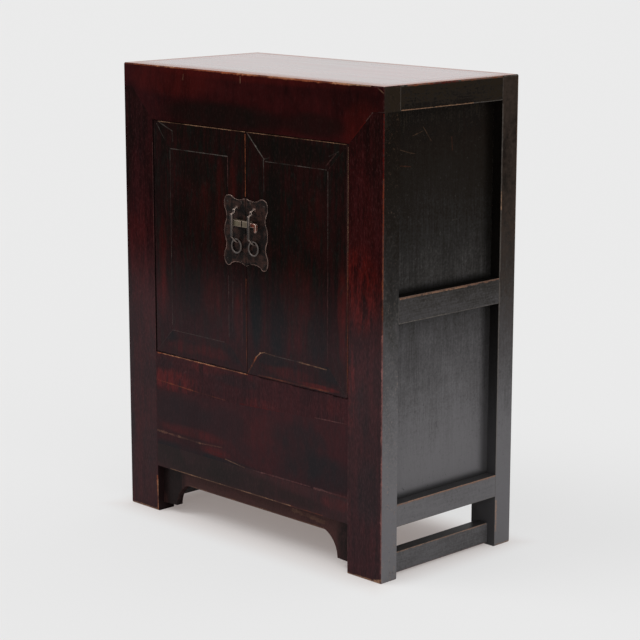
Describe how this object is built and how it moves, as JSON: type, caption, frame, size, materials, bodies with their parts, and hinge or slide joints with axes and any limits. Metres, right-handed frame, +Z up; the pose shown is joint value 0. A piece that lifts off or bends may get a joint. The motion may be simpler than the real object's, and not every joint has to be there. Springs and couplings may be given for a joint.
{
  "type": "kang cabinet",
  "caption": "Square-cornered kang cabinet with mitred pivot-hung doors, iron lock plate and pin, shelf, and a hidden compartment under a loose floor board.",
  "frame": {"origin": "on the floor, under the middle of the whole object with its ironwork", "axes": "+X towards the right door as seen from the front, +Y from the doors to the back, +Z up"},
  "size_m": [0.664, 0.35, 0.84],
  "materials": {
    "oxblood_lacquer": "worn dark red lacquer over hardwood",
    "dark_lacquer": "near black lacquer with worn edges",
    "bare_wood": "bare aged wood, unfinished inside",
    "wrought_iron": "dark wrought iron, rubbed bright on its edges"
  },
  "bodies": {
    "cabinet": {"compartment_front_board": "bare_wood", "compartment_rear_board": "bare_wood", "floor_bearers": "bare_wood", "floor_front_board": "bare_wood", "floor_rear_board": "bare_wood", "front_apron": "oxblood_lacquer", "front_bottom_rail": "oxblood_lacquer", "front_left_post": "oxblood_lacquer", "front_lower_panel": "oxblood_lacquer", "front_right_post": "oxblood_lacquer", "front_sill_rail": "oxblood_lacquer", "front_top_rail": "oxblood_lacquer", "left_bottom_rail": "dark_lacquer", "left_lower_side_panel": "dark_lacquer", "left_middle_rail": "dark_lacquer", "left_stretcher": "dark_lacquer", "left_top_rail": "dark_lacquer", "left_upper_side_panel": "dark_lacquer", "rear_bottom_rail": "dark_lacquer", "rear_left_post": "dark_lacquer", "rear_lower_panel": "bare_wood", "rear_middle_rail": "dark_lacquer", "rear_right_post": "dark_lacquer", "rear_top_rail": "dark_lacquer", "rear_upper_panel": "bare_wood", "right_bottom_rail": "dark_lacquer", "right_lower_side_panel": "dark_lacquer", "right_middle_rail": "dark_lacquer", "right_stretcher": "dark_lacquer", "right_top_rail": "dark_lacquer", "right_upper_side_panel": "dark_lacquer", "shelf_front_board": "bare_wood", "shelf_rear_board": "bare_wood", "top_battens": "bare_wood", "top_panel": "dark_lacquer"},
    "left_door": {"left_hinge_stile": "oxblood_lacquer", "left_meeting_stile": "oxblood_lacquer", "left_door_top_rail": "oxblood_lacquer", "left_door_bottom_rail": "oxblood_lacquer", "left_door_panel": "oxblood_lacquer", "left_door_batten": "bare_wood", "left_lock_plate": "wrought_iron", "left_plate_nails": "wrought_iron", "left_staple": "wrought_iron", "left_pin_keeper": "wrought_iron"},
    "right_door": {"right_hinge_stile": "oxblood_lacquer", "right_meeting_stile": "oxblood_lacquer", "right_door_top_rail": "oxblood_lacquer", "right_door_bottom_rail": "oxblood_lacquer", "right_door_panel": "oxblood_lacquer", "right_door_batten": "bare_wood", "right_lock_plate": "wrought_iron", "right_plate_nails": "wrought_iron", "right_staple": "wrought_iron", "right_pin_keeper": "wrought_iron"},
    "left_pull_ring": {"left_ring": "wrought_iron"},
    "right_pull_ring": {"right_ring": "wrought_iron"},
    "sliding_lock_pin": {"lock_pin": "wrought_iron"},
    "loose_floor_board": {"compartment_lid": "bare_wood"}
  },
  "joints": [
    {"name": "left_door_hinge", "type": "hinge", "parent": "cabinet", "child": "left_door", "pos_m": [-0.237, -0.151, 0.525], "axis": [0, 0, -1], "range_deg": [0, 120]},
    {"name": "right_door_hinge", "type": "hinge", "parent": "cabinet", "child": "right_door", "pos_m": [0.237, -0.151, 0.525], "axis": [0, 0, 1], "range_deg": [0, 120]},
    {"name": "left_ring_swing", "type": "hinge", "parent": "left_door", "child": "left_pull_ring", "pos_m": [-0.022, -0.1623, 0.5491], "axis": [-1, 0, 0], "range_deg": [0, 80]},
    {"name": "right_ring_swing", "type": "hinge", "parent": "right_door", "child": "right_pull_ring", "pos_m": [0.022, -0.1623, 0.5491], "axis": [-1, 0, 0], "range_deg": [0, 80]},
    {"name": "lock_pin_slide", "type": "slide", "parent": "right_door", "child": "sliding_lock_pin", "axis": [1, 0, 0], "range_m": [0, 0.013]},
    {"name": "floor_board_lift", "type": "slide", "parent": "cabinet", "child": "loose_floor_board", "axis": [0, 0, 1], "range_m": [0, 0.12]}
  ]
}
